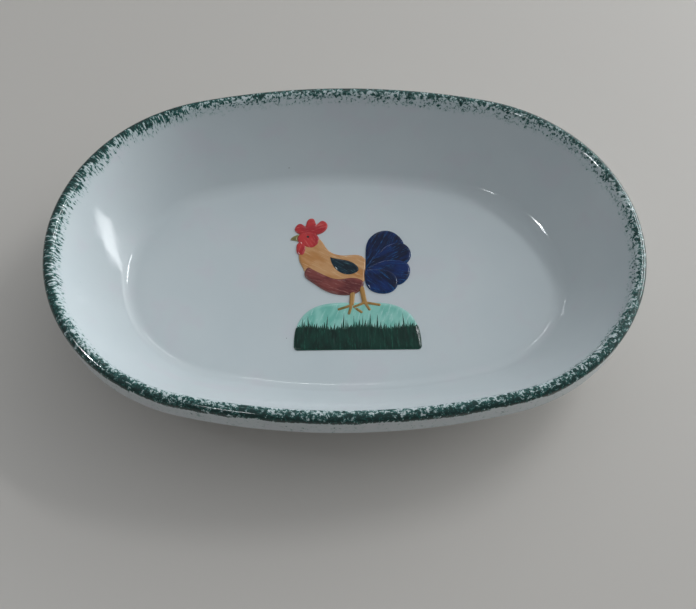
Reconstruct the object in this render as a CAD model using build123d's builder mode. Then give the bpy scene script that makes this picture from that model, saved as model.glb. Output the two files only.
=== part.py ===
from build123d import *

import math
import os

# An oval stoneware dish with a rolled, sponged rim and a cockerel laid on its floor in raised slip.
# Millimetres, +Z up. The origin is on the table under the middle of the dish, with X along its length
# and the cockerel upright as seen from the -Y side.

# The plan, measured over the widest line of the rim. It is a four-centre oval: two end arcs and two
# side arcs that meet in line. Outlines inside it share its four centres, so one wall section, revolved
# about each centre in turn, closes up exactly.
LENGTH = 330.0
WIDTH = 218.0
END_RADIUS = 101.5

# The wall section. Its first coordinate runs outward from the widest line of the rim, so it is
# negative everywhere inside, and its second is the height above the table.
HEIGHT = 55.0
LIP_THICKNESS = 7.0
FLOOR_TOP = 9.5
FOOT_HEIGHT = 2.5
FLOOR_CORNER = -37.0  # where the slope of the wall would meet the floor
WALL_HOLLOW_RADIUS = 160.0
WALL_THICKNESS = 7.0
FLOOR_FILLET = 12.0
COLLAR_CORNER = 35.5  # height of the rolled rim's lower corner, before it is rounded
COLLAR_TO_WALL = 31.5
COLLAR_ROUND = 7.0
COLLAR_COVE = 9.0
LIP_INNER_ROUND = 4.0
FOOT_TOP = 5.0
FOOT_OUTER = -31.8
FOOT_WIDTH = 6.0
FOOT_TAPER = 0.6
FOOT_ROUND = 1.2
SLAB_INSET = 50.0  # inside this the floor is a flat slab

# Glaze
GLAZE = 0.4
BARE_FOOT = 1.2  # the foot is wiped clean of glaze up to here
BAND_LOW = 45.0  # the sponged band covers the lip down to this height

# Raised slip, as heights above the floor
MOUND_RISE = 0.8
GRASS_RISE = 1.1
LEG_RISE = 1.3
BODY_RISE = 0.9
WING_RISE = 1.5
TAIL_RISE = 1.0
TAIL_STEP = 0.12  # each tail feather stands this much prouder than the one before
HEAD_RISE = 1.2
COMB_RISE = 1.0
BEAK_RISE = 0.7
EYE_RISE = 1.6

# The grassy mound
MOUND_LEFT = -30.0
MOUND_RIGHT = 42.5
MOUND_BASE = -48.0
MOUND_TOP = -17.5
MOUND_CORNER = 4.0
MOUND_BASE_ROUND = 2.0
GRASS_LINE = -32.5  # where the blades start to part
GRASS_INSET = 0.8  # the grass stays this far inside the mound's edge
BLADE_COUNT = 20
BLADE_LENGTHS = (3.2, 6.0, 4.1, 7.4, 2.6, 5.2, 3.6)  # repeated along the mound
BLADE_GAP = 0.55  # where between two blade tips the valley between them lies

# The cockerel's legs and eye
SHANK_WIDTH = 3.0
TOE_WIDTH = 2.0
EYE_PLACE = (-22.4, 28.2)
EYE_RADIUS = 1.1

END_X = LENGTH / 2 - END_RADIUS
SIDE_RADIUS = (END_X**2 + (WIDTH / 2) ** 2 - END_RADIUS**2) / (WIDTH - 2 * END_RADIUS)
SIDE_Y = SIDE_RADIUS - WIDTH / 2
JOINT_ANGLE = math.degrees(math.atan2(SIDE_Y, END_X))

# Centre, radius, first angle and sweep of each of the oval's four arcs
OVAL_ARCS = (
    ((END_X, 0), END_RADIUS, -JOINT_ANGLE, 2 * JOINT_ANGLE),
    ((0, -SIDE_Y), SIDE_RADIUS, JOINT_ANGLE, 180 - 2 * JOINT_ANGLE),
    ((-END_X, 0), END_RADIUS, 180 - JOINT_ANGLE, 2 * JOINT_ANGLE),
    ((0, SIDE_Y), SIDE_RADIUS, 180 + JOINT_ANGLE, 180 - 2 * JOINT_ANGLE),
)

LIP_CENTRE_HEIGHT = HEIGHT - LIP_THICKNESS / 2


def hollow_centre():
    """The centre of the arc that the inside of the wall follows."""
    low = Vector(FLOOR_CORNER, FLOOR_TOP)
    high = Vector(-LIP_THICKNESS, LIP_CENTRE_HEIGHT)
    chord = high - low
    reach = math.sqrt(WALL_HOLLOW_RADIUS**2 - (chord.length / 2) ** 2)
    inward = Vector(-chord.Y, chord.X).normalized()
    return (low + high) * 0.5 + inward * reach


def outer_wall(height):
    """The point on the outside of the wall at a height. It runs parallel to the inside."""
    centre = hollow_centre()
    radius = WALL_HOLLOW_RADIUS + WALL_THICKNESS
    return (centre.X + math.sqrt(radius**2 - (height - centre.Y) ** 2), height)


def dish_section():
    """The whole glazed section, from the edge of the floor slab out to the rim."""
    corner = (FLOOR_CORNER, FLOOR_TOP)
    lip_inner = (-LIP_THICKNESS, LIP_CENTRE_HEIGHT)
    lip_outer = (0, LIP_CENTRE_HEIGHT)
    collar = (0, COLLAR_CORNER)
    cove = outer_wall(COLLAR_TO_WALL)
    foot_root = outer_wall(FOOT_TOP)
    foot_outer = (FOOT_OUTER - FOOT_TAPER, 0)
    foot_inner = (FOOT_OUTER - FOOT_WIDTH, 0)
    recess = (FOOT_OUTER - FOOT_WIDTH - FOOT_TAPER, FOOT_HEIGHT)
    with BuildSketch() as section:
        with BuildLine():
            Line((-SLAB_INSET, FLOOR_TOP), corner)
            RadiusArc(corner, lip_inner, -WALL_HOLLOW_RADIUS)
            ThreePointArc(lip_inner, (-LIP_THICKNESS / 2, HEIGHT), lip_outer)
            Polyline(lip_outer, collar, cove)
            RadiusArc(cove, foot_root, WALL_HOLLOW_RADIUS + WALL_THICKNESS)
            Polyline(foot_root, foot_outer, foot_inner, recess, (-SLAB_INSET, FOOT_HEIGHT))
            Line((-SLAB_INSET, FOOT_HEIGHT), (-SLAB_INSET, FLOOR_TOP))
        make_face()
        rounding = (
            (corner, FLOOR_FILLET),
            (lip_inner, LIP_INNER_ROUND),
            (collar, COLLAR_ROUND),
            (cove, COLLAR_COVE),
            (foot_root, FOOT_ROUND),
            (foot_outer, FOOT_ROUND),
            (foot_inner, FOOT_ROUND),
            (recess, FOOT_ROUND),
        )
        for place, radius in rounding:
            fillet(section.vertices().sort_by_distance(place)[0], radius=radius)
    return section.sketch


def clay_section(whole):
    """The clay under the glaze: the whole section less one coat, with the foot left bare."""
    with BuildSketch() as foot:
        add(whole)
        with Locations((-SLAB_INSET, 0)):
            Rectangle(SLAB_INSET, BARE_FOOT, align=Align.MIN, mode=Mode.INTERSECT)
    with BuildSketch() as clay:
        add(whole)
        offset(amount=-GLAZE, mode=Mode.REPLACE)
        add(foot.sketch)
    return clay.sketch


def glaze_sections(whole, clay):
    """The coat of glaze in its four stretches: base, interior, exterior and rim band."""
    with BuildSketch() as coat:
        add(whole)
        add(clay, mode=Mode.SUBTRACT)
        with Locations((-SLAB_INSET, 0)):
            Rectangle(GLAZE, HEIGHT, align=Align.MIN, mode=Mode.SUBTRACT)
    with BuildSketch() as band:
        add(coat.sketch)
        with Locations((-SLAB_INSET, BAND_LOW)):
            Rectangle(SLAB_INSET, HEIGHT, align=Align.MIN, mode=Mode.INTERSECT)
    with BuildSketch() as rest:
        add(coat.sketch)
        with Locations((-SLAB_INSET, BAND_LOW)):
            Rectangle(SLAB_INSET, HEIGHT, align=Align.MIN, mode=Mode.SUBTRACT)
    base, *sides = rest.faces().sort_by(Axis.Y)
    interior, exterior = ShapeList(sides).sort_by(Axis.X)
    return base, interior, exterior, band.sketch


def oval_plan(inset):
    """The flat oval a given distance inside the widest line of the rim."""
    end = END_RADIUS - inset
    joint_x = END_X + end * math.cos(math.radians(JOINT_ANGLE))
    joint_y = end * math.sin(math.radians(JOINT_ANGLE))
    half_length = LENGTH / 2 - inset
    half_width = WIDTH / 2 - inset
    with BuildSketch() as plan:
        with BuildLine():
            ThreePointArc((joint_x, -joint_y), (half_length, 0), (joint_x, joint_y))
            ThreePointArc((joint_x, joint_y), (0, half_width), (-joint_x, joint_y))
            ThreePointArc((-joint_x, joint_y), (-half_length, 0), (-joint_x, -joint_y))
            ThreePointArc((-joint_x, -joint_y), (0, -half_width), (joint_x, -joint_y))
        make_face()
    return plan.sketch


def oval_ring(section):
    """A section carried once round the oval."""
    with BuildPart() as ring:
        for (x, y), radius, first, sweep_angle in OVAL_ARCS:
            outward = Vector(1, 0).rotate(Axis.Z, first)
            plane = Plane(origin=(x, y, 0), x_dir=outward, z_dir=outward.rotate(Axis.Z, -90))
            with BuildSketch(plane):
                with Locations((radius, 0)):
                    add(section)
            revolve(axis=Axis((x, y, 0), (0, 0, 1)), revolution_arc=sweep_angle)
    return ring.part


def floored_ring(section, bottom, top):
    """A ring closed across the middle by a flat slab between two heights."""
    with BuildPart() as vessel:
        add(oval_ring(section))
        with BuildSketch(Plane.XY.offset(bottom)):
            add(oval_plan(SLAB_INSET - GLAZE))
        extrude(amount=top - bottom)
    return vessel.part


def closed_spline(*points):
    """A smooth closed outline through points."""
    with BuildSketch() as outline:
        with BuildLine():
            Spline(*points, periodic=True)
        make_face()
    return outline.sketch


def pointed_spline(*points):
    """A smooth outline through points that comes to a tip at the first of them."""
    with BuildSketch() as outline:
        with BuildLine():
            Spline(*points, points[0])
        make_face()
    return outline.sketch


def mound_outline(inset=0.0):
    """The mound, or a smaller one just inside it: a flat base, upright ends and a domed top."""
    left = MOUND_LEFT + inset
    right = MOUND_RIGHT - inset
    base = MOUND_BASE + inset
    shoulder = MOUND_BASE + MOUND_CORNER
    with BuildSketch() as outline:
        with BuildLine():
            Polyline((left, shoulder), (left, base), (right, base), (right, shoulder))
            Spline(
                (right, shoulder),
                ((left + right) / 2, MOUND_TOP - inset),
                (left, shoulder),
                tangents=[(0, 1), (-1, 0), (0, -1)],
            )
        make_face()
        fillet(outline.vertices().group_by(Axis.Y)[0], radius=MOUND_BASE_ROUND)
    return outline.sketch


def grass_outline():
    """The grass: the lower half of the mound, a little inside it, with a row of blades on top."""
    pitch = (MOUND_RIGHT - MOUND_LEFT) / BLADE_COUNT
    blades = [(MOUND_LEFT, MOUND_BASE)]
    for number in range(BLADE_COUNT):
        length = BLADE_LENGTHS[number % len(BLADE_LENGTHS)]
        tip = MOUND_LEFT + number * pitch
        blades.append((tip, GRASS_LINE + length))
        blades.append((tip + pitch * BLADE_GAP, GRASS_LINE))
    blades.append((MOUND_RIGHT, GRASS_LINE))
    blades.append((MOUND_RIGHT, MOUND_BASE))
    with BuildSketch() as outline:
        add(mound_outline(GRASS_INSET))
        with BuildLine():
            Polyline(*blades, close=True)
        make_face(mode=Mode.INTERSECT)
    return outline.sketch


def leg_outline(hip, heel, toes):
    """A straight shank with toes spread from its heel."""
    bones = [(hip, heel, SHANK_WIDTH)]
    bones += [(heel, toe, TOE_WIDTH) for toe in toes]
    with BuildSketch() as outline:
        for start, end, thickness in bones:
            with BuildLine() as bone:
                Line(start, end)
            with Locations(start, end):
                Circle(thickness / 2)
            trace(bone.line, line_width=thickness)
    return outline.sketch


def eye_outline():
    """A round eye."""
    with BuildSketch() as outline:
        with Locations(EYE_PLACE):
            Circle(EYE_RADIUS)
    return outline.sketch


def slip_patch(outline, rise, under=(), base=0.0):
    """A raised patch of slip on the floor, cut away where it lies over earlier ones."""
    with BuildPart() as patch:
        with BuildSketch(Plane.XY.offset(FLOOR_TOP + base)):
            add(outline)
        extrude(amount=rise - base)
        for lower in under:
            add(lower, mode=Mode.SUBTRACT)
    return patch.part


def dish_pieces():
    """The clay and its glaze."""
    whole = dish_section()
    clay = clay_section(whole)
    base, interior, exterior, band = glaze_sections(whole, clay)
    return {
        "stoneware_body": floored_ring(clay, FOOT_HEIGHT + GLAZE, FLOOR_TOP - GLAZE),
        "interior_glaze": floored_ring(interior, FLOOR_TOP - GLAZE, FLOOR_TOP),
        "base_glaze": floored_ring(base, FOOT_HEIGHT, FOOT_HEIGHT + GLAZE),
        "exterior_glaze": oval_ring(exterior),
        "rim_band_glaze": oval_ring(band),
    }


def ground_pieces():
    """The mound and the grass brushed over the front of it."""
    mound = slip_patch(mound_outline(), MOUND_RISE)
    grass = slip_patch(grass_outline(), GRASS_RISE, base=MOUND_RISE)
    return {"mound_slip": mound, "grass_slip": grass}


def tail_pieces():
    """Four plump feathers that fan out from the rump, each laid over the last."""
    root = (12.0, 5.5)
    feathers = (
        ((12.4, 15.5), (14.6, 26.5), (22.5, 32.6), (32.0, 30.0), (35.6, 21.5), (26.0, 20.5), (18.5, 13.0)),
        ((18.5, 15.0), (27.5, 23.5), (36.6, 22.8), (39.8, 14.6), (34.5, 8.0), (25.0, 9.0), (17.0, 6.0)),
        ((19.0, 10.0), (28.0, 12.0), (37.5, 9.0), (37.2, -1.0), (30.5, -5.6), (22.5, -0.6), (15.5, 1.0)),
        ((18.5, 5.5), (26.5, 4.0), (31.2, -2.2), (28.0, -9.8), (20.5, -11.4), (13.8, -8.2), (11.4, -1.5)),
    )
    pieces = {}
    for number, feather in enumerate(feathers):
        rise = TAIL_RISE + number * TAIL_STEP
        name = f"tail_slip_{number + 1}"
        pieces[name] = slip_patch(pointed_spline(root, *feather), rise, list(pieces.values()))
    return pieces


def bird_pieces(ground, tail):
    """The cockerel, from the legs up, each colour laid over what is already there."""
    far_leg = slip_patch(
        leg_outline((9.5, -8.0), (11.0, -17.8), ((4.8, -20.6), (13.5, -22.4), (19.4, -19.4))),
        LEG_RISE,
        ground,
    )
    near_leg = slip_patch(
        leg_outline((4.0, -10.0), (3.2, -19.6), ((-4.2, -22.2), (1.6, -25.0), (8.8, -24.2))),
        LEG_RISE,
        ground + [far_leg],
    )
    legs = [far_leg, near_leg]
    body = slip_patch(
        closed_spline(
            (-26.8, 9.5), (-27.6, 19.0), (-23.0, 27.0), (-16.0, 27.5), (-10.5, 19.5), (-1.0, 15.2),
            (10.0, 14.6), (13.8, 8.0), (11.0, -3.0), (1.0, -10.6), (-12.0, -8.2), (-22.0, -0.5),
        ),
        BODY_RISE,
        legs + tail,
    )
    wing = slip_patch(
        closed_spline(
            (-21.5, 6.6), (-13.0, 1.6), (-4.0, -1.6), (5.0, -0.8), (10.6, -3.6), (8.4, -9.4),
            (-1.0, -12.4), (-11.5, -9.6), (-20.5, -3.0), (-24.4, 3.2),
        ),
        WING_RISE,
        legs + tail + [body],
    )
    patch = slip_patch(
        pointed_spline(
            (-9.2, 14.0), (-2.0, 12.2), (5.0, 9.6), (8.2, 4.6), (3.4, 1.2), (-3.8, 3.0), (-8.0, 8.4)
        ),
        WING_RISE,
        [body, wing],
    )
    comb = slip_patch(
        closed_spline(
            (-28.6, 31.5), (-29.6, 36.8), (-26.6, 38.4), (-24.2, 36.6), (-22.4, 41.2), (-18.8, 41.8),
            (-17.2, 37.8), (-14.2, 40.4), (-10.6, 38.2), (-11.6, 33.6), (-16.5, 30.5), (-23.0, 30.0),
        ),
        COMB_RISE,
        [body],
    )
    face = slip_patch(
        closed_spline(
            (-28.4, 29.0), (-23.5, 32.4), (-17.4, 30.6), (-15.6, 24.6), (-19.8, 20.2), (-26.0, 22.6)
        ),
        HEAD_RISE,
        [body, comb],
    )
    wattle = slip_patch(
        closed_spline(
            (-27.6, 24.4), (-24.4, 23.2), (-23.6, 18.4), (-26.0, 14.8), (-28.8, 17.0), (-29.4, 21.2)
        ),
        HEAD_RISE,
        [body, comb, face],
    )
    beak = slip_patch(
        pointed_spline((-33.0, 26.6), (-29.6, 30.0), (-25.8, 30.2), (-26.0, 25.8), (-29.4, 25.8)),
        BEAK_RISE,
        [body, comb, face, wattle],
    )
    eye = slip_patch(eye_outline(), EYE_RISE, [body, face])
    return {
        "far_leg_slip": far_leg,
        "near_leg_slip": near_leg,
        "bird_body_slip": body,
        "wing_slip": wing,
        "wing_patch_slip": patch,
        "comb_slip": comb,
        "face_slip": face,
        "wattle_slip": wattle,
        "beak_slip": beak,
        "eye_slip": eye,
    }


def all_pieces():
    """Every piece of the dish by name."""
    ground = ground_pieces()
    tail = tail_pieces()
    bird = bird_pieces(list(ground.values()), list(tail.values()))
    return dish_pieces() | ground | tail | bird


os.makedirs("parts", exist_ok=True)
for name, piece in all_pieces().items():
    piece.label = name
    export_step(piece, f"parts/{name}.step")
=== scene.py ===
import math
import random

import bmesh
import bpy
import numpy as np
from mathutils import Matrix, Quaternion, Vector, noise
from mathutils.geometry import delaunay_2d_cdt


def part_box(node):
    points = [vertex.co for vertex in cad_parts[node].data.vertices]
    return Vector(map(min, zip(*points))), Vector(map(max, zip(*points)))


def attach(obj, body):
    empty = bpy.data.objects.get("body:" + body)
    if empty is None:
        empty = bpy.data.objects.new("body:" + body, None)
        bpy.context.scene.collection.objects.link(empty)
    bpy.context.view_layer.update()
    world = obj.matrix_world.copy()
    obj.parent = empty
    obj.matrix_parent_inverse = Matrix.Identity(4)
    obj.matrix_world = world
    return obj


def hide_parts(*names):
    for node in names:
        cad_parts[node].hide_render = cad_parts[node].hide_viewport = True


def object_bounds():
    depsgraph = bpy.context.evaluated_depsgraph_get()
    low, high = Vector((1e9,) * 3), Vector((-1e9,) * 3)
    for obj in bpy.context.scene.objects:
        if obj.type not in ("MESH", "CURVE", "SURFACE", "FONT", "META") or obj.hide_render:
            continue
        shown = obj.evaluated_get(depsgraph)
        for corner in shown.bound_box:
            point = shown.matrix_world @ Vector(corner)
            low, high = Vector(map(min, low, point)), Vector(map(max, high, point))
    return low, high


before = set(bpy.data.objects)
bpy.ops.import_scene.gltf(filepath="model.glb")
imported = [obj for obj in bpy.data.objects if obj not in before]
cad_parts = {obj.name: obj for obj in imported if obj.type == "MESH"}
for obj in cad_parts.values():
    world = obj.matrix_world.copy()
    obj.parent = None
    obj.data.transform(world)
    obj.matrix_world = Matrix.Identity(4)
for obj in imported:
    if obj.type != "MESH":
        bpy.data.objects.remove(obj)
cad_low, cad_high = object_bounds()

MM = 0.001

# The oval plan, over the widest line of the rim: two end arcs and two side arcs that meet in line
HALF_LENGTH = cad_high.x
HALF_WIDTH = cad_high.y
END_RADIUS = 101.5 * MM
END_X = HALF_LENGTH - END_RADIUS
SIDE_RADIUS = (END_X**2 + HALF_WIDTH**2 - END_RADIUS**2) / (2 * (HALF_WIDTH - END_RADIUS))
SIDE_Y = SIDE_RADIUS - HALF_WIDTH
JOINT_ANGLE = math.atan2(SIDE_Y, END_X)
END_STATIONS = 132
SIDE_STATIONS = 84

# The wall section, as (outward from the widest line, height)
HEIGHT = cad_high.z
FLOOR_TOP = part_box("mound_slip")[0].z
LIP_THICKNESS = 7.0 * MM
LIP_CENTRE_HEIGHT = HEIGHT - LIP_THICKNESS / 2
FLOOR_CORNER = -37.0 * MM
HOLLOW_RADIUS = 160.0 * MM
WALL_THICKNESS = 7.0 * MM
FLOOR_FILLET = 12.0 * MM
LIP_INNER_ROUND = 4.0 * MM
COLLAR_CORNER = 35.5 * MM
COLLAR_TO_WALL = 31.5 * MM
COLLAR_ROUND = 7.0 * MM
COLLAR_COVE = 9.0 * MM
FOOT_HEIGHT = 2.5 * MM
FOOT_TOP = 5.0 * MM
FOOT_OUTER = -31.8 * MM
FOOT_WIDTH = 6.0 * MM
FOOT_TAPER = 0.6 * MM
FOOT_ROUND = 1.2 * MM
SLAB_INSET = 50.0 * MM
GLAZE = 0.4 * MM
BARE_FOOT = 1.2 * MM
BAND_LOW = 45.0 * MM

# How finely the section is first drawn, and then sampled: never further apart, nor turning by more
LINE_POINTS = 200
ARC_POINTS = 400
CORNER_POINTS = 60
SECTION_STEP = 1.2 * MM
SECTION_TURN = math.radians(7)
FLOOR_RINGS = 40
SHARP_FROM = math.radians(50)  # an edge that turns by more than this is shaded as a sharp one

# The glaze is not quite even: a slow swell, and none of it down at the foot
SWELL_DEPTH = 0.2 * MM
SWELL_LENGTH = 38.0 * MM
SWELL_STARTS = 3.0 * MM
SWELL_FULL = 9.0 * MM

# Painted slip
OUTLINE_STEP = 0.5 * MM
EDGE_RINGS = (0.06 * MM, 0.2 * MM, 0.42 * MM, 0.7 * MM, 1.05 * MM)
FILL_STEP = 0.55 * MM
RING_CLEARANCE = 0.93  # a ring's points closer to the edge than this share of its inset are left out
SLIP_FOOTING = 0.35 * MM  # how far a patch reaches down into the glaze
WIDE_EDGE = 1.4 * MM
NARROW_EDGE = 0.9 * MM
BRUSH_RIDGE = 0.05 * MM
BRUSH_WIDTH = 1.1 * MM
BRUSH_STRETCH = 7  # how much longer than wide a brush ridge is

# The camera: where it stands as seen from the middle of the rim, what it looks at, and its roll
CAMERA_AZIMUTH = math.radians(-2.37)
CAMERA_ELEVATION = math.radians(56.37)
CAMERA_DISTANCE = 464.8 * MM
CAMERA_AIM = Vector((0.0, -42.0 * MM, LIP_CENTRE_HEIGHT))
CAMERA_ROLL = math.radians(1.95)
CAMERA_LENS = 43.46


# ---------------------------------------------------------------- the section of the wall


def straight(start, end):
    """Closely spaced points along a straight stretch."""
    return np.linspace(start, end, LINE_POINTS)


def bowed(start, end, radius):
    """Closely spaced points along an arc, centred on its left, or its right if the radius is negative."""
    start, end = np.array(start), np.array(end)
    chord = end - start
    half = math.hypot(*chord) / 2
    left = np.array([-chord[1], chord[0]]) / (2 * half)
    centre = (start + end) / 2 + math.copysign(math.sqrt(max(radius**2 - half**2, 0)), radius) * left
    first = math.atan2(*(start - centre)[::-1])
    last = math.atan2(*(end - centre)[::-1])
    turn = (last - first) % (2 * math.pi)
    if radius < 0:
        turn -= 2 * math.pi
    angles = first + np.linspace(0, turn, ARC_POINTS)
    return centre + abs(radius) * np.stack([np.cos(angles), np.sin(angles)], 1)


def run_length(path):
    """Distance along a path at each of its points."""
    return np.concatenate([[0], np.cumsum(np.hypot(*np.diff(path, axis=0).T))])


def trimmed(path, start, end):
    """A path with a length cut off each end."""
    length = run_length(path)
    places = np.linspace(start, length[-1] - end, len(path))
    return np.stack([np.interp(places, length, path[:, k]) for k in (0, 1)], 1)


def unit(vector):
    return vector / math.hypot(*vector)


def joined(stretches, radii):
    """Stretches joined end to end, with each joint rounded to its radius."""
    stretches = list(stretches)
    path = []
    for number, radius in enumerate(radii):
        before, after = stretches[number], stretches[number + 1]
        if radius:
            arriving = unit(before[-1] - before[-2])
            leaving = unit(after[1] - after[0])
            turn = math.acos(np.clip(np.dot(arriving, leaving), -1, 1))
            reach = radius * math.tan(turn / 2)
            before, after = trimmed(before, 0, reach), trimmed(after, reach, 0)
            handle = radius * math.tan(turn / 4) * 4 / 3
            a, d = before[-1], after[0]
            b = a + handle * unit(before[-1] - before[-2])
            c = d - handle * unit(after[1] - after[0])
            t = np.linspace(0, 1, CORNER_POINTS)[:, None]
            corner = (1 - t) ** 3 * a + 3 * t * (1 - t) ** 2 * b + 3 * t**2 * (1 - t) * c + t**3 * d
            path += [before, corner]
        else:
            path.append(before)
        stretches[number + 1] = after
    path.append(stretches[-1])
    path = np.concatenate(path)
    step = np.hypot(*np.diff(path, axis=0).T)
    return path[np.concatenate([[True], step > 1e-9])]


def dish_section():
    """The glazed section, from the edge of the floor slab over the rim to the slab's edge underneath."""
    corner = np.array((FLOOR_CORNER, FLOOR_TOP))
    lip_inner = np.array((-LIP_THICKNESS, LIP_CENTRE_HEIGHT))
    chord = lip_inner - corner
    half = math.hypot(*chord) / 2
    reach = math.sqrt(HOLLOW_RADIUS**2 - half**2)
    centre = (corner + lip_inner) / 2 + reach * unit(np.array((-chord[1], chord[0])))

    def outer_wall(height):
        radius = HOLLOW_RADIUS + WALL_THICKNESS
        return (centre[0] + math.sqrt(radius**2 - (height - centre[1]) ** 2), height)

    lip_outer = (0, LIP_CENTRE_HEIGHT)
    collar = (0, COLLAR_CORNER)
    cove = outer_wall(COLLAR_TO_WALL)
    foot_root = outer_wall(FOOT_TOP)
    foot_outer = (FOOT_OUTER - FOOT_TAPER, 0)
    foot_inner = (FOOT_OUTER - FOOT_WIDTH, 0)
    recess = (FOOT_OUTER - FOOT_WIDTH - FOOT_TAPER, FOOT_HEIGHT)
    return joined(
        (
            straight((-SLAB_INSET, FLOOR_TOP), corner),
            bowed(corner, lip_inner, HOLLOW_RADIUS),
            bowed(lip_inner, lip_outer, -LIP_THICKNESS / 2),
            straight(lip_outer, collar),
            straight(collar, cove),
            bowed(cove, foot_root, -HOLLOW_RADIUS - WALL_THICKNESS),
            straight(foot_root, foot_outer),
            straight(foot_outer, foot_inner),
            straight(foot_inner, recess),
            straight(recess, (-SLAB_INSET, FOOT_HEIGHT)),
        ),
        (
            FLOOR_FILLET, LIP_INNER_ROUND, 0, COLLAR_ROUND, COLLAR_COVE,
            FOOT_ROUND, FOOT_ROUND, FOOT_ROUND, FOOT_ROUND,
        ),
    )


class Section:
    """The section with its normals, and how far inward over the rim each point is from the widest line."""

    def __init__(self, path):
        self.path = path
        self.length = run_length(path)
        along = np.gradient(path, self.length, axis=0)
        along /= np.hypot(*along.T)[:, None]
        self.normal = np.stack([-along[:, 1], along[:, 0]], 1)
        turn = np.abs(np.gradient(np.unwrap(np.arctan2(along[:, 1], along[:, 0]))))
        self.cost = self.length / SECTION_STEP + np.cumsum(turn) / SECTION_TURN
        self.crest = np.argmax(path[:, 1])
        widest = self.place(self.crest, len(path), LIP_CENTRE_HEIGHT)
        self.over = self.length[widest] - self.length

    def place(self, first, last, height):
        """The point nearest a height between two places."""
        return first + int(np.argmin(np.abs(self.path[first:last, 1] - height)))

    def stretch(self, first, last):
        """The points, normals and distances over the rim between two places, closer where it bends."""
        count = math.ceil(self.cost[last] - self.cost[first]) + 1
        wanted = np.linspace(self.cost[first], self.cost[last], count)
        columns = [self.path[:, 0], self.path[:, 1], self.normal[:, 0], self.normal[:, 1], self.over]
        u, z, nu, nz, over = (np.interp(wanted, self.cost, column) for column in columns)
        size = np.hypot(nu, nz)
        return u, z, nu / size, nz / size, over


# ---------------------------------------------------------------- the dish


def oval_stations():
    """Where the section stands round the oval: the arc's centre, its radius and the way outward."""
    arcs = (
        ((END_X, 0), END_RADIUS, -JOINT_ANGLE, 2 * JOINT_ANGLE, END_STATIONS),
        ((0, -SIDE_Y), SIDE_RADIUS, JOINT_ANGLE, math.pi - 2 * JOINT_ANGLE, SIDE_STATIONS),
        ((-END_X, 0), END_RADIUS, math.pi - JOINT_ANGLE, 2 * JOINT_ANGLE, END_STATIONS),
        ((0, SIDE_Y), SIDE_RADIUS, math.pi + JOINT_ANGLE, math.pi - 2 * JOINT_ANGLE, SIDE_STATIONS),
    )
    centres, radii, outward = [], [], []
    for centre, radius, first, sweep, count in arcs:
        for k in range(count):
            angle = first + sweep * k / count
            centres.append(centre)
            radii.append(radius)
            outward.append((math.cos(angle), math.sin(angle)))
    return np.array(centres), np.array(radii), np.array(outward)


def swell(points):
    """How far the glaze sinks below its true surface at each point."""
    depth = np.empty(len(points))
    for number, (x, y, z) in enumerate(points):
        place = Vector((x, y, z)) / SWELL_LENGTH
        wave = noise.noise(place) + 0.3 * noise.noise(place * 3.1)
        rise = min(max((z - SWELL_STARTS) / (SWELL_FULL - SWELL_STARTS), 0.0), 1.0)
        depth[number] = SWELL_DEPTH * rise * min(max(0.5 + 0.5 * wave, 0.0), 1.0)
    return depth


def strip(first_row, second_row):
    """Quads between two closed rows of vertex numbers."""
    return np.stack([first_row, np.roll(first_row, -1), np.roll(second_row, -1), second_row], 1).tolist()


def finish_mesh(name, vertices, faces):
    """An object from vertices and faces, with its normals outward and its smooth surfaces smooth."""
    mesh = bpy.data.meshes.new(name)
    mesh.from_pydata([tuple(v) for v in vertices], [], faces)
    mesh.validate()
    work = bmesh.new()
    work.from_mesh(mesh)
    bmesh.ops.recalc_face_normals(work, faces=work.faces)
    work.to_mesh(mesh)
    work.free()
    mesh.shade_smooth()
    mesh.set_sharp_from_angle(angle=SHARP_FROM)
    piece = bpy.data.objects.new(name, mesh)
    bpy.context.scene.collection.objects.link(piece)
    return piece


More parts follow.
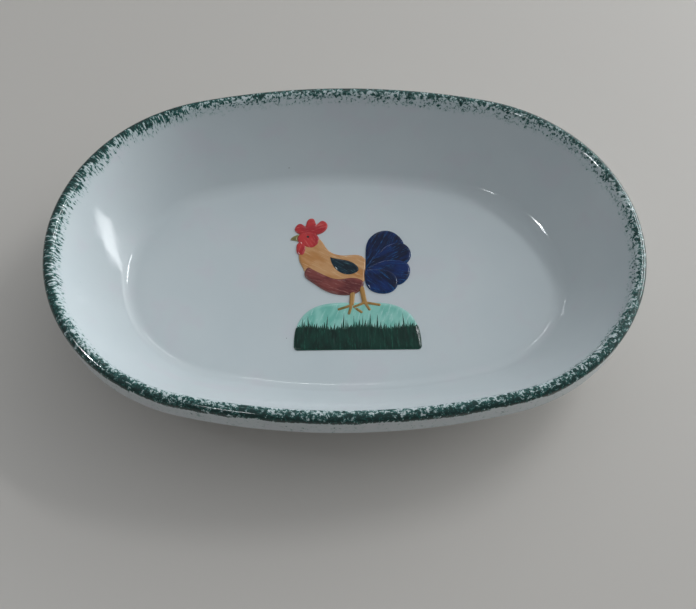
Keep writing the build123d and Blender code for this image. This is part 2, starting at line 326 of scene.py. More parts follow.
def glaze_shell(name, section, first, last, middle=None):
    """A coat of glaze on a stretch of the section, closed across the middle of the dish if it says so."""
    centres, radii, outward = oval_stations()
    u, z, nu, nz, over = section.stretch(first, last)
    if middle == "last":
        u, z, nu, nz, over = (column[::-1] for column in (u, z, nu, nz, over))
    plan = centres[:, None] + (radii[:, None] + u)[..., None] * outward[:, None]
    points = np.concatenate([plan, np.broadcast_to(z, plan.shape[:2])[..., None]], 2)
    normals = np.concatenate(
        [nu[None, :, None] * outward[:, None], np.broadcast_to(nz, plan.shape[:2])[..., None]], 2
    )
    if middle:
        share = np.linspace(0, 1, FLOOR_RINGS + 1)[1:-1]
        disc = points[:, :1] * np.stack([share, share, np.ones_like(share)], 1)
        flat = np.broadcast_to(normals[:, :1], disc.shape)
        points = np.concatenate([disc, points], 1)
        normals = np.concatenate([flat, normals], 1)
        over = np.concatenate([over[0] + (1 - share) * SLAB_INSET, over])
    stations, columns = points.shape[:2]
    points = points.reshape(-1, 3)
    normals = normals.reshape(-1, 3)
    outer = points - normals * swell(points)[:, None]
    inner = outer - normals * GLAZE
    lip = centres + radii[:, None] * outward
    place = np.concatenate([np.repeat(lip, columns, 0), np.tile(over, stations)[:, None]], 1)
    vertices = np.concatenate([outer, inner])
    place = np.concatenate([place, place])
    number = np.arange(stations * columns).reshape(stations, columns)
    inside = number + stations * columns
    faces = []
    for column in range(columns - 1):
        faces += strip(number[:, column], number[:, column + 1])
        faces += strip(inside[:, column], inside[:, column + 1])
    faces += strip(number[:, -1], inside[:, -1])
    if middle:
        heights = (vertices[number[:, 0], 2].mean(), vertices[inside[:, 0], 2].mean())
        vertices = np.concatenate([vertices, [(0, 0, heights[0]), (0, 0, heights[1])]])
        place = np.concatenate([place, [(0, 0, SLAB_INSET * 2)] * 2])
        for centre, row in ((len(vertices) - 2, number[:, 0]), (len(vertices) - 1, inside[:, 0])):
            faces += [[centre, a, b] for a, b in zip(row.tolist(), np.roll(row, -1).tolist())]
    else:
        faces += strip(number[:, 0], inside[:, 0])
    piece = finish_mesh(name, vertices, faces)
    attribute = piece.data.attributes.new("rim_place", "FLOAT_VECTOR", "POINT")
    attribute.data.foreach_set("vector", place.astype(np.float32).ravel())
    return piece


def dish_pieces():
    """The four coats of glaze, each in place of its CAD solid."""
    section = Section(dish_section())
    end = len(section.path) - 1
    inner_edge = section.place(0, section.crest, BAND_LOW)
    outer_edge = section.place(section.crest, end, BAND_LOW)
    lowest = outer_edge + int(np.argmin(section.path[outer_edge:, 1]))
    foot_outside = section.place(outer_edge, lowest, BARE_FOOT)
    foot_inside = section.place(lowest, end, BARE_FOOT)
    return {
        "interior_glaze": glaze_shell("glazed_interior", section, 0, inner_edge, "first"),
        "rim_band_glaze": glaze_shell("glazed_rim", section, inner_edge, outer_edge),
        "exterior_glaze": glaze_shell("glazed_exterior", section, outer_edge, foot_outside),
        "base_glaze": glaze_shell("glazed_base", section, foot_inside, end, "last"),
    }


# ---------------------------------------------------------------- painted slip


def top_outline(node):
    """The outline of a CAD patch's flat top, as closed loops of points."""
    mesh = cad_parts[node].data
    top = max(vertex.co.z for vertex in mesh.vertices)
    key = {v.index: (round(v.co.x, 7), round(v.co.y, 7)) for v in mesh.vertices}
    following = {}
    edges = set()
    for face in mesh.polygons:
        if all(mesh.vertices[i].co.z > top - 1e-5 for i in face.vertices) and face.normal.z > 0.5:
            ring = [key[i] for i in face.vertices]
            edges.update(zip(ring, ring[1:] + ring[:1]))
    for a, b in sorted(edges):
        if (b, a) not in edges and a != b:
            following.setdefault(a, []).append(b)
    loops = []
    while following:
        start = min(following)
        loop = [start]
        while loop[-1] in following:
            steps = following[loop[-1]]
            after = steps.pop()
            if not steps:
                del following[loop[-1]]
            if after == start:
                break
            loop.append(after)
        if len(loop) > 2:
            loops.append(np.array(loop))
    return loops


def evenly(loop, step):
    """A closed loop with its long edges divided."""
    points = []
    for a, b in zip(loop, np.roll(loop, -1, 0)):
        parts = max(1, math.ceil(math.hypot(*(b - a)) / step))
        points += [a + (b - a) * k / parts for k in range(parts)]
    return np.array(points)


def distance_to(loops, points):
    """The distance from each point to the nearest of the loops' edges."""
    best = np.full(len(points), np.inf)
    for loop in loops:
        for a, b in zip(loop, np.roll(loop, -1, 0)):
            edge = b - a
            share = np.clip(((points - a) @ edge) / max(edge @ edge, 1e-18), 0, 1)
            best = np.minimum(best, np.hypot(*(points - a - share[:, None] * edge).T))
    return best


def within(loops, points):
    """Which points the loops enclose."""
    inside = np.zeros(len(points), bool)
    x, y = points.T
    for loop in loops:
        for (ax, ay), (bx, by) in zip(loop, np.roll(loop, -1, 0)):
            if ay != by:
                crosses = (ay > y) != (by > y)
                inside ^= crosses & (x < (bx - ax) * (y - ay) / (by - ay) + ax)
    return inside


def patch_points(loops, edge_rings, fill_step):
    """Points that fill an outline: rings close to its edge, then an even fill."""
    points, insets = [], []
    for loop in loops:
        ahead = np.roll(loop, -1, 0) - np.roll(loop, 1, 0)
        side = np.stack([-ahead[:, 1], ahead[:, 0]], 1)
        side /= np.maximum(np.hypot(*side.T), 1e-12)[:, None]
        for inset in edge_rings:
            stride = max(1, round(inset / OUTLINE_STEP))
            points += [loop[::stride] + side[::stride] * way * inset for way in (-1, 1)]
            insets += [inset] * len(points[-1]) * 2
    points = np.concatenate(points)
    near = within(loops, points) & (distance_to(loops, points) > np.array(insets) * RING_CLEARANCE)
    points = points[near]
    low = np.min([loop.min(0) for loop in loops], 0)
    high = np.max([loop.max(0) for loop in loops], 0)
    rows = np.arange(low[1], high[1], fill_step * math.sqrt(3) / 2)
    fill = []
    for number, y in enumerate(rows):
        xs = np.arange(low[0] + (number % 2) * fill_step / 2, high[0], fill_step)
        fill.append(np.stack([xs, np.full_like(xs, y)], 1))
    fill = np.concatenate(fill)
    fill = fill[within(loops, fill)]
    fill = fill[distance_to(loops, fill) > edge_rings[-1] + fill_step / 2]
    return np.concatenate([points, fill])


def dome(distance, width):
    """A rounded edge: 0 at the outline, 1 from the given width inward."""
    return np.sqrt(1 - (1 - np.clip(distance / width, 0, 1)) ** 2)


def brushed(points, angle, width, length):
    """Ridges left by a brush drawn at an angle, between -1 and 1."""
    along, across = math.cos(angle), math.sin(angle)
    ridges = np.empty(len(points))
    for number, (x, y) in enumerate(points):
        place = Vector(((x * along + y * across) / length, (y * along - x * across) / width, angle))
        ridges[number] = noise.noise(place) + 0.4 * noise.noise(place * 2.3)
    return ridges


def slip_piece(name, loops, height, edge_rings=EDGE_RINGS, fill_step=FILL_STEP):
    """A closed patch of slip over an outline. height gives its top from points and their edge distances."""
    loops = [evenly(loop, OUTLINE_STEP) for loop in loops]
    border = np.concatenate(loops)
    edges, first = [], 0
    for loop in loops:
        edges += [(first + k, first + (k + 1) % len(loop)) for k in range(len(loop))]
        first += len(loop)
    points = np.concatenate([border, patch_points(loops, edge_rings, fill_step)])
    plan, _, triangles, *_ = delaunay_2d_cdt([Vector(p) for p in points], edges, [], 2, 1e-7)
    plan = np.array([tuple(p) for p in plan])
    distance = distance_to(loops, plan)
    distance[distance < 1e-7] = 0
    top = FLOOR_TOP + height(plan, distance)
    count = len(plan)
    vertices = np.concatenate(
        [
            np.column_stack([plan, top]),
            np.column_stack([plan, np.full(count, FLOOR_TOP - SLIP_FOOTING)]),
        ]
    )
    used = set()
    for a, b, c in triangles:
        used.update(((a, b), (b, c), (c, a)))
    faces = [list(t) for t in triangles]
    faces += [[count + c, count + b, count + a] for a, b, c in triangles]
    faces += [[b, a, count + a, count + b] for a, b in sorted(used) if (b, a) not in used]
    piece = finish_mesh(name, vertices, faces)
    attribute = piece.data.attributes.new("edge", "FLOAT", "POINT")
    attribute.data.foreach_set("value", np.concatenate([distance, distance]).astype(np.float32))
    return piece


def node_rise(node):
    """How far a CAD patch stands above the floor."""
    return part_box(node)[1].z - FLOOR_TOP


def painted(name, node, stroke, edge_width):
    """A CAD patch of slip, domed, with its brush strokes."""
    rise = node_rise(node)

    def height(points, distance):
        ridges = brushed(points, stroke, BRUSH_WIDTH, BRUSH_WIDTH * BRUSH_STRETCH)
        return dome(distance, edge_width) * (rise - BRUSH_RIDGE + BRUSH_RIDGE * ridges)

    return slip_piece(name, top_outline(node), height)


# The grass over the front of the mound: its blades, the least and most length of the short and long ones
BLADE_PITCH = 0.95 * MM
BLADE_SHORT = (0.8 * MM, 4.2 * MM)
BLADE_LONG = (5.0 * MM, 9.5 * MM)
BLADE_LONG_SHARE = 0.16
GRASS_LINE = 0.62  # where the blades part, as a share of the grass's height
GRASS_LAP = 0.15 * MM  # how far it runs past the mound's edge
GRASS_INSET = 0.7 * MM  # how far the tips of the blades stay below the mound's top
UPPER_FROM = 3.0 * MM  # the mound's upper outline is taken from this far above the grass's base
FIRST_BLADE = 0.8 * MM
GRASS_SEED = 7
GRASS_SWAY = (0.9 * MM, 5.0 * MM)  # how high the line waves, and its length for each radian
GRASS_UNEVEN = 0.5 * MM
BLADE_NOTCH = 0.8 * MM  # how far the gaps between blades cut below the line
GRASS_EDGE = 0.5 * MM
GRASS_RIDGE = 0.16 * MM
GRASS_RINGS = (0.06 * MM, 0.2 * MM, 0.42 * MM)
GRASS_FILL_STEP = 0.5 * MM
MOUND_EDGE = 2.6 * MM
MOUND_SWELL = 0.06 * MM

# The width and the length of the ridges in the grass and of the mound's swells
GRASS_FURROW = (1.6 * MM, 9.0 * MM)
MOUND_SWELL_SIZE = (6.0 * MM, 9.0 * MM)


def grass_loops(mound):
    """The outline of the grass: the mound's lower part, with a ragged row of blades along its top."""
    grass_low, grass_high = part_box("grass_slip")
    line = grass_low.y + GRASS_LINE * (grass_high.y - grass_low.y)
    outline = evenly(mound[0], OUTLINE_STEP)
    upper = outline[outline[:, 1] > grass_low.y + UPPER_FROM]
    upper = upper[np.argsort(upper[:, 0])]
    ahead = np.roll(outline, -1, 0) - np.roll(outline, 1, 0)
    outward = np.stack([ahead[:, 1], -ahead[:, 0]], 1) / np.hypot(*ahead.T)[:, None]
    lower = outline + GRASS_LAP * outward
    lower = np.roll(lower, -np.argmax(lower[:, 1]), 0)
    lower = lower[lower[:, 1] < line]
    dice = random.Random(GRASS_SEED)

    def under_mound(x, y):
        return min(y, np.interp(x, upper[:, 0], upper[:, 1]) - GRASS_INSET)

    blades = []
    x = lower[0, 0] + FIRST_BLADE
    while x < lower[-1, 0] - 1.5 * BLADE_PITCH:
        reach = BLADE_LONG if dice.random() < BLADE_LONG_SHARE else BLADE_SHORT
        length = dice.uniform(*reach)
        width = BLADE_PITCH * dice.uniform(0.6, 1.5)
        tip = x + width * dice.uniform(-0.2, 1.2)
        sway = GRASS_SWAY[0] * math.sin(x / GRASS_SWAY[1]) + dice.uniform(-GRASS_UNEVEN, GRASS_UNEVEN)
        blades.append((x, under_mound(x, line + sway - BLADE_NOTCH)))
        blades.append((tip, under_mound(tip, line + sway + length)))
        x += width
    return [np.concatenate([lower, blades[::-1]])]


def ground_pieces():
    """The mound, and the grass on it."""
    mound = top_outline("mound_slip")
    mound_rise = node_rise("mound_slip")
    grass_rise = node_rise("grass_slip")

    def mound_height(points, distance):
        swelling = MOUND_SWELL * brushed(points, math.pi / 2, *MOUND_SWELL_SIZE)
        return dome(distance, MOUND_EDGE) * (mound_rise - MOUND_SWELL + swelling)

    def grass_height(points, distance):
        ridges = GRASS_RIDGE * brushed(points, math.pi / 2, *GRASS_FURROW)
        below = mound_height(points, distance_to(mound, points))
        coat = grass_rise - mound_rise - GRASS_RIDGE
        return below + dome(distance, GRASS_EDGE) * (coat + ridges)

    grass = grass_loops(mound)
    return {
        "mound_slip": slip_piece("painted_mound", mound, mound_height),
        "grass_slip": slip_piece("painted_grass", grass, grass_height, GRASS_RINGS, GRASS_FILL_STEP),
    }


GROUND = ("mound_slip", "grass_slip")
NARROW = ("far_leg_slip", "near_leg_slip", "beak_slip", "eye_slip")


def bird_pieces():
    """Every patch of the bird, in place of its CAD solid."""
    pieces = {}
    for node, (_, angle, _) in PAINTS.items():
        if node not in GROUND:
            edge = NARROW_EDGE if node in NARROW else WIDE_EDGE
            name = "painted_" + node.replace("_slip", "")
            pieces[node] = painted(name, node, math.radians(angle), edge)
    return pieces


# ---------------------------------------------------------------- materials


def linear(red, green, blue):
    """A colour given as screen values from 0 to 255, as the shader wants it."""
    channels = (c / 255 for c in (red, green, blue))
    return tuple(c / 12.92 if c <= 0.04045 else ((c + 0.055) / 1.055) ** 2.4 for c in channels) + (1.0,)


class Nodes:
    """A node tree. Its helpers take numbers, colours or sockets, and give sockets."""

    def __init__(self, tree):
        self.nodes = tree.nodes
        self.links = tree.links

    def put(self, node, inputs):
        for key, value in inputs.items():
            socket = node.inputs[key if isinstance(key, int) else key.replace("_", " ")]
            if isinstance(value, bpy.types.NodeSocket):
                self.links.new(value, socket)
            else:
                socket.default_value = value

    def node(self, kind, inputs, **settings):
        made = self.nodes.new("ShaderNode" + kind)
        for key, value in settings.items():
            setattr(made, key, value)
        self.put(made, inputs)
        return made

    def math(self, operation, first, second):
        return self.node("Math", {0: first, 1: second}, operation=operation).outputs[0]

    def add(self, first, second):
        return self.math("ADD", first, second)

    def times(self, first, second):
        return self.math("MULTIPLY", first, second)

    def swing(self, value, reach):
        """A value between 0 and 1, as one that swings round 0 with a given reach."""
        return self.times(self.math("SUBTRACT", value, 0.5), reach)

    def between(self, value, low, high, first=0.0, last=1.0):
        """A smooth step of value from low to high, as first to last."""
        inputs = {"Value": value, "From Min": low, "From Max": high, "To Min": first, "To Max": last}
        return self.node("MapRange", inputs, interpolation_type="SMOOTHSTEP").outputs[0]

    def mix(self, share, first, second):
        return self.node("Mix", {0: share, 6: first, 7: second}, data_type="RGBA").outputs[2]


class Shader(Nodes):
    """A material made of nodes."""

    def __init__(self, name, **surface):
        self.material = bpy.data.materials.new(name)
        self.material.use_nodes = True
        super().__init__(self.material.node_tree)
        self.surface = self.nodes["Principled BSDF"]
        self.put(self.surface, surface)

    def stretch(self, vector, *scales):
        return self.node("VectorMath", {0: vector, 1: scales}, operation="MULTIPLY").outputs[0]

    def noise(self, vector, scale, detail=2.0, roughness=0.5, distortion=0.0):
        inputs = {"Vector": vector, "Scale": scale, "Detail": detail, "Roughness": roughness}
        return self.node("TexNoise", inputs | {"Distortion": distortion}).outputs[0]

    def place(self):
        return self.node("TexCoord", {}).outputs["Object"]

    def attribute(self, name, output="Vector"):
        return self.node("Attribute", {}, attribute_name=name).outputs[output]

    def bump(self, height, distance, over=None):
        """A normal raised by a height, on top of another such normal if there is one."""
        inputs = {"Height": height, "Distance": distance}
        if over is not None:
            inputs["Normal"] = over
        return self.node("Bump", inputs).outputs[0]


def dark_specks(shader, place, spacing, size, share):
    """Small iron specks: 1 in the middle of a share of the cells of a loose grid, 0 between them."""
    cells = shader.node("TexVoronoi", {"Vector": place, "Scale": 1 / spacing})
    lot = shader.node("SeparateColor", {0: cells.outputs["Color"]}).outputs[0]
    chosen = shader.math("GREATER_THAN", lot, 1 - share)
    spot = shader.between(cells.outputs["Distance"], size / spacing, 0.4 * size / spacing)
    return shader.times(spot, chosen)


# White glaze: two bluish whites and a pinkish one, with the sizes of their clouds. Specks and pits are
# given as spacing, size and share.
WHITE = (linear(199, 208, 212), linear(211, 217, 219))
PINKISH = linear(208, 206, 213)
CLOUD_SIZE = 45.0 * MM
PINK_SIZE = 22.0 * MM
SPECKS = (17.0 * MM, 0.45 * MM, 0.12)
SPECK_COLOUR = linear(92, 96, 98)
PITS = (3.1 * MM, 0.25 * MM, 0.14)
PIT_DEPTH = 0.06 * MM
RIPPLE_SIZE = 7.0 * MM
RIPPLE_DEPTH = 0.05 * MM
SPONGE_DEPTH = 0.05 * MM
GLOSS_SIZE = 9.0 * MM

# The sponged green: streaks at the left end, between these places on the lip, and dabs elsewhere
STREAKS_ALONG = (-70.0 * MM, -125.0 * MM)
STREAKS_ACROSS = (-62.0 * MM, -28.0 * MM)
STREAK_WIDTH = 1.15 * MM
STREAK_SQUEEZE = 0.3
DAB_SIZE = 1.9 * MM
CLUMP_SIZE = 5.5 * MM
CLUMP_SQUEEZE = 0.6
CLUMP_REACH = 0.18
WANDER_SIZE = 16.0 * MM
WANDER_REACH = 6.0 * MM
# How far inward over the rim the marks thin out, die away, and are worn off the outer edge
BAND_THINS = (0.5 * MM, 15.0 * MM)
BAND_LIMITS = (0.36, 0.61)  # how strong the noise has to be for a mark, before and after they thin out
BAND_ENDS = (13.5 * MM, 18.5 * MM)
OUTER_EDGE = (0.9 * MM, -1.2 * MM)
STREAK_BONUS = 0.03
MARK_EDGE = (-0.012, 0.022)
DEEP_AT = 0.14
WASH_FROM = (-0.16, 0.02)
WASH_SHARE = 0.34
GREEN = (linear(44, 104, 98), linear(12, 50, 47))
GREEN_WASH = linear(128, 172, 166)


def white_glaze(shader, place):
    """The colour of the white: slow bluish and pinkish clouds, and a few specks."""
    cloud = shader.noise(place, 1 / CLOUD_SIZE, 3.0)
    pink = shader.noise(shader.stretch(place, 1, 1, 1.5), 1 / PINK_SIZE, 2.0)
    white = shader.mix(cloud, *WHITE)
    white = shader.mix(shader.between(pink, 0.52, 0.72, 0, 0.4), white, PINKISH)
    return shader.mix(dark_specks(shader, place, *SPECKS), white, SPECK_COLOUR)


def sponge(shader):
    """How deep the sponged green is: above 0 on a mark, and more where more was left."""
    rim = shader.attribute("rim_place")
    lip_x, lip_y, over = shader.node("SeparateXYZ", {0: rim}).outputs[:3]
    wander = shader.noise(shader.stretch(rim, 1, 1, 0), 1 / WANDER_SIZE, 2.0)
    over = shader.add(over, shader.swing(wander, WANDER_REACH))
    streaky = shader.times(shader.between(lip_x, *STREAKS_ALONG), shader.between(lip_y, *STREAKS_ACROSS))
    streaks = shader.noise(shader.stretch(rim, 1, 1, STREAK_SQUEEZE), 1 / STREAK_WIDTH, 2.5, 0.6, 0.3)
    dabs = shader.noise(rim, 1 / DAB_SIZE, 3.5, 0.72, 0.4)
    clumps = shader.noise(shader.stretch(rim, 1, 1, CLUMP_SQUEEZE), 1 / CLUMP_SIZE, 2.0)
    ink = shader.node("Mix", {0: streaky, 2: dabs, 3: streaks}, data_type="FLOAT").outputs[0]
    ink = shader.add(ink, shader.swing(clumps, CLUMP_REACH))
    limit = shader.between(over, *BAND_THINS, *BAND_LIMITS)
    limit = shader.math("SUBTRACT", limit, shader.times(streaky, STREAK_BONUS))
    limit = shader.add(limit, shader.between(over, *BAND_ENDS, 0, 0.25))
    limit = shader.add(limit, shader.between(over, *OUTER_EDGE, 0, 0.3))
    return shader.math("SUBTRACT", ink, limit)


def glaze_material():
    """Bluish white glaze, with the green sponged over the rim."""
    shader = Shader("sponged_white_glaze", Roughness=0.08, IOR=1.5)
    place = shader.place()
    depth = sponge(shader)
    cover = shader.between(depth, *MARK_EDGE)
    green = shader.mix(shader.between(depth, 0.0, DEEP_AT), *GREEN)
    wash = shader.between(depth, *WASH_FROM, 0, WASH_SHARE)
    washed = shader.mix(wash, white_glaze(shader, place), GREEN_WASH)
    patchy = shader.noise(place, 1 / GLOSS_SIZE, 3.0)
    pits = dark_specks(shader, place, *PITS)
    relief = shader.bump(shader.noise(place, 1 / RIPPLE_SIZE, 1.5), RIPPLE_DEPTH)
    relief = shader.bump(shader.times(pits, -1.0), PIT_DEPTH, relief)
    relief = shader.bump(cover, SPONGE_DEPTH, relief)
    surface = {
        "Base_Color": shader.mix(cover, washed, green),
        "Roughness": shader.between(patchy, 0.3, 0.7, 0.06, 0.12),
        "Normal": relief,
    }
    shader.put(shader.surface, surface)
    return shader.material


# Bare clay: its two colours, the size of its cloud and its grit, and its specks as spacing, size and share
CLAY = (linear(196, 178, 156), linear(176, 156, 132))
CLAY_CLOUD_SIZE = 18.0 * MM
GRIT_SIZE = 0.7 * MM
GRIT_DEPTH = 0.12 * MM
CLAY_SPECKS = (1.6 * MM, 0.3 * MM, 0.2)
CLAY_SPECK_COLOUR = linear(110, 88, 70)


def clay_material():
    """Bare fired stoneware: buff, matt and gritty."""
    shader = Shader("bare_stoneware")
    place = shader.place()
    grit = shader.noise(place, 1 / GRIT_SIZE, 4.0, 0.7)
    colour = shader.mix(shader.noise(place, 1 / CLAY_CLOUD_SIZE, 3.0), *CLAY)
    colour = shader.mix(dark_specks(shader, place, *CLAY_SPECKS), colour, CLAY_SPECK_COLOUR)
    surface = {
        "Base_Color": colour,
        "Roughness": shader.between(grit, 0.3, 0.7, 0.72, 0.92),
        "Normal": shader.bump(grit, GRIT_DEPTH),
    }
    shader.put(shader.surface, surface)
    return shader.material


# Painted slip: how its bristle marks, fine marks and pools are drawn out along the stroke, and their sizes
BRISTLE_SQUEEZE = 0.11
FINE_SQUEEZE = 0.2
POOL_SQUEEZE = 0.45
FINE_WIDTH = BRUSH_WIDTH / 3
POOL_SIZE = 5.5 * MM
EDGE_FADE = 0.75 * MM
EDGE_FADE_FROM = 0.05 * MM
EDGE_UNEVEN = 0.5 * MM
EDGE_SHARE = 0.5
DRAG_DEPTH = 0.03 * MM
CUSHION_SIZE = 3.0 * MM
CUSHION_DEPTH = 0.05 * MM


def slip_material(name, thin, full, deep, angle, fade):
    """Glazed slip, streaked by the brush: thin where dragged and at its edge, deep where it pooled."""
    shader = Shader(name, IOR=1.45, Specular_IOR_Level=0.38)
    place = shader.place()
    inputs = {"Vector": place, "Angle": -math.radians(angle)}
    turned = shader.node("VectorRotate", inputs, rotation_type="Z_AXIS").outputs[0]
    edge = shader.attribute("edge", "Fac")
    drawn_out = shader.stretch(turned, BRISTLE_SQUEEZE, 1, 0.2)
    bristles = shader.noise(drawn_out, 1 / BRUSH_WIDTH, 3.5, 0.6, 0.25)
    pools = shader.noise(shader.stretch(turned, POOL_SQUEEZE, 1, 0.2), 1 / POOL_SIZE, 2.0)
    fine = shader.noise(shader.stretch(turned, FINE_SQUEEZE, 1, 0.2), 1 / FINE_WIDTH, 2.0, 0.6)
    drag = shader.add(shader.times(bristles, 0.75), shader.times(fine, 0.25))
    colour = shader.mix(shader.between(pools, 0.38, 0.66), full, deep)
    colour = shader.mix(shader.between(drag, 0.52, 0.68), colour, thin)
    ragged = shader.add(edge, shader.swing(fine, EDGE_UNEVEN))
    colour = shader.mix(shader.between(ragged, fade, EDGE_FADE_FROM, 0, EDGE_SHARE), colour, thin)
    relief = shader.bump(drag, DRAG_DEPTH)
    relief = shader.bump(shader.noise(place, 1 / CUSHION_SIZE, 1.0), CUSHION_DEPTH, relief)
    surface = {
        "Base_Color": colour,
        "Roughness": shader.between(pools, 0.3, 0.7, 0.08, 0.17),
        "Normal": relief,
    }
    shader.put(shader.surface, surface)
    return shader.material


# Each kind of slip: where thin, where full and where deep
OCHRE = (linear(222, 182, 140), linear(206, 156, 108), linear(190, 132, 78))
RED = (linear(214, 106, 102), linear(198, 58, 60), linear(174, 42, 50))
RED_BROWN = (linear(168, 112, 104), linear(130, 66, 62), linear(98, 44, 46))
BLUE_GREEN = (linear(64, 98, 108), linear(18, 48, 62), linear(6, 26, 38))
BLUE = (linear(26, 84, 142), linear(8, 40, 96), linear(3, 18, 52))
STRAW = (linear(178, 172, 124), linear(148, 140, 86), linear(114, 106, 62))
DARK = (linear(60, 26, 26), linear(36, 16, 18), linear(20, 10, 12))
MINT = (linear(176, 218, 212), linear(146, 206, 194), linear(116, 188, 174))
GRASS = (linear(30, 86, 70), linear(14, 56, 46), linear(9, 40, 33))
OLIVE = (linear(196, 158, 102), linear(176, 130, 70), linear(120, 108, 58))

# Each patch of slip: its paint, the way its brush was drawn, in degrees from +X, and its record slot
PAINTS = {
    "mound_slip": (MINT, 70, "pale_green_slip"),
    "grass_slip": (GRASS, 90, "dark_green_slip"),
    "far_leg_slip": (OLIVE, 80, "ochre_slip"),
    "near_leg_slip": (OLIVE, 95, "ochre_slip"),
    "bird_body_slip": (OCHRE, -28, "ochre_slip"),
    "wing_slip": (RED_BROWN, -22, "red_brown_slip"),
    "wing_patch_slip": (BLUE_GREEN, -30, "blue_green_slip"),
    "comb_slip": (RED, 15, "red_slip"),
    "face_slip": (RED, -60, "red_slip"),
    "wattle_slip": (RED, 75, "red_slip"),
    "beak_slip": (STRAW, 20, "straw_slip"),
    "eye_slip": (DARK, 0, "dark_slip"),
    "tail_slip_1": (BLUE, 62, "blue_slip"),
    "tail_slip_2": (BLUE, 28, "blue_slip"),
    "tail_slip_3": (BLUE, -5, "blue_slip"),
    "tail_slip_4": (BLUE, -45, "blue_slip"),
}


def finish_pieces():
    """Makes every piece, gives it its material, hides the CAD solid it replaces, and says what it rides on.
    """
    glaze = glaze_material()
    for node, piece in dish_pieces().items():
        piece.data.materials.append(glaze)
        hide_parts(node)
        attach(piece, "root")
    for node, piece in (ground_pieces() | bird_pieces()).items():
        (thin, full, deep), angle, slot = PAINTS[node]
        fade = MOUND_EDGE if node == "mound_slip" else EDGE_FADE
        piece.data.materials.append(slip_material(piece.name + "_paint", thin, full, deep, angle, fade))
        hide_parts(node)
        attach(piece, "root")
    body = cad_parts["stoneware_body"]
    clay = clay_material()
    for slot in body.material_slots:
        slot.material = clay


# ---------------------------------------------------------------- stage, light and camera


# Soft light: cool all round, and a broad glow from the far right. Directions are azimuth and elevation.
SHADE = (0.04, 0.02, 0.01, 1.0)
AMBIENT = (0.425, 0.455, 0.475, 1.0)
AMBIENT_FROM = (75, 62)
GLOW = (2.65, 2.8, 2.85, 1.0)
GLOW_FROM = (36, 12)
GLOW_TIGHTNESS = 6.0

# The lamps: azimuth and elevation in degrees, size in metres, watts. Glints show only as reflections.
LAMP_COLOUR = (0.95, 0.98, 1.0)
LAMP_DISTANCE = 1.4
RIGHT_LAMP = ("right_lamp", 37, 43, (0.42, 0.05), 2.9)
GLINTS = (
    ("left_lamp", 180, 49, (0.30, 0.05), 3.0),
    ("left_bulb", 183, 47, (0.09, 0.07), 5.0),
    ("far_lamp", 91, 45, (0.24, 0.04), 0.35),
    ("near_lamp", -119, 54, (0.18, 0.08), 1.2),
)

# The window is seen in the left wall, about this place, low over the opposite rim
WINDOW = ("window", 22, 7.5, (0.70, 0.18), 2.9)
WINDOW_SEEN_AT = (-0.14, 0.01, 0.024)
WINDOW_DISTANCE = 1.2

FLOOR_REACH = 3.0
FLOOR_COLOUR = linear(200, 194, 188)


def heading(azimuth, elevation):
    """The direction at an azimuth from +X and an elevation, both in degrees."""
    azimuth, elevation = math.radians(azimuth), math.radians(elevation)
    across = math.cos(elevation)
    return Vector((math.cos(azimuth) * across, math.sin(azimuth) * across, math.sin(elevation)))


def sky():
    """The light from all round: dim behind the viewer, with a glow that fades smoothly from its middle."""
    world = bpy.data.worlds.new("room")
    world.use_nodes = True
    room = Nodes(world.node_tree)
    direction = room.node("TexCoord", {}).outputs["Generated"]

    def facing(way):
        inputs = {0: direction, 1: heading(*way)}
        return room.node("VectorMath", inputs, operation="DOT_PRODUCT").outputs["Value"]

    share = room.add(room.times(facing(AMBIENT_FROM), 0.5), 0.5)
    around = room.mix(share, SHADE, AMBIENT)
    glow = room.math("POWER", room.math("MAXIMUM", facing(GLOW_FROM), 0.0), GLOW_TIGHTNESS)
    room.put(room.nodes["Background"], {0: room.mix(glow, around, GLOW)})
    bpy.context.scene.world = world


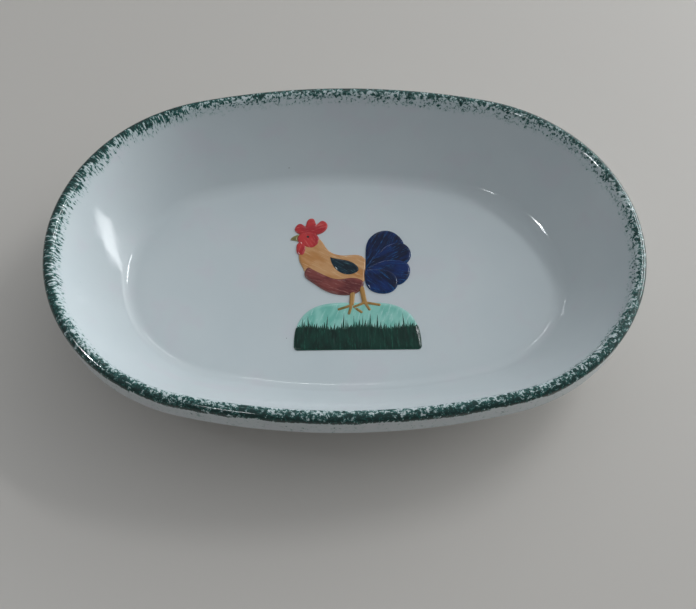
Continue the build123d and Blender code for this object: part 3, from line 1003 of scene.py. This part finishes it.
def area_light(aim, distance, name, azimuth, elevation, size, watts):
    """A rectangular light that faces a point from a direction."""
    data = bpy.data.lights.new(name, "AREA")
    data.shape = "RECTANGLE"
    data.size, data.size_y = size
    data.energy = watts
    data.color = LAMP_COLOUR
    lamp = bpy.data.objects.new(name, data)
    lamp.location = Vector(aim) + heading(azimuth, elevation) * distance
    lamp.rotation_mode = "QUATERNION"
    lamp.rotation_quaternion = (Vector(aim) - lamp.location).to_track_quat("-Z", "Y")
    bpy.context.scene.collection.objects.link(lamp)
    return lamp


def stage():
    """A plain pale floor and soft light."""
    mesh = bpy.data.meshes.new("floor")
    corners = [(x * FLOOR_REACH, y * FLOOR_REACH, 0) for x, y in ((-1, -1), (1, -1), (1, 1), (-1, 1))]
    mesh.from_pydata(corners, [], [(0, 1, 2, 3)])
    floor = bpy.data.objects.new("floor", mesh)
    bpy.context.scene.collection.objects.link(floor)
    shader = Shader("pale_floor", Roughness=0.6, Base_Color=FLOOR_COLOUR)
    mesh.materials.append(shader.material)

    sky()
    area_light(WINDOW_SEEN_AT, WINDOW_DISTANCE, *WINDOW)
    middle = (0, 0, FLOOR_TOP)
    area_light(middle, LAMP_DISTANCE, *RIGHT_LAMP)
    for glint in GLINTS:
        area_light(middle, LAMP_DISTANCE, *glint).visible_diffuse = False


def camera():
    """The camera, above the near side of the dish and looking down into it."""
    data = bpy.data.cameras.new("camera")
    data.sensor_width = 36.0
    data.lens = CAMERA_LENS
    eye = bpy.data.objects.new("camera", data)
    across = math.cos(CAMERA_ELEVATION)
    back = Vector(
        (
            math.sin(CAMERA_AZIMUTH) * across,
            -math.cos(CAMERA_AZIMUTH) * across,
            math.sin(CAMERA_ELEVATION),
        )
    )
    eye.location = Vector((0, 0, LIP_CENTRE_HEIGHT)) + back * CAMERA_DISTANCE
    turn = (CAMERA_AIM - eye.location).to_track_quat("-Z", "Y")
    eye.rotation_mode = "QUATERNION"
    eye.rotation_quaternion = turn @ Quaternion((0, 0, 1), CAMERA_ROLL)
    bpy.context.scene.collection.objects.link(eye)
    bpy.context.scene.camera = eye


finish_pieces()
stage()
camera()
bpy.context.scene.view_settings.view_transform = "Standard"
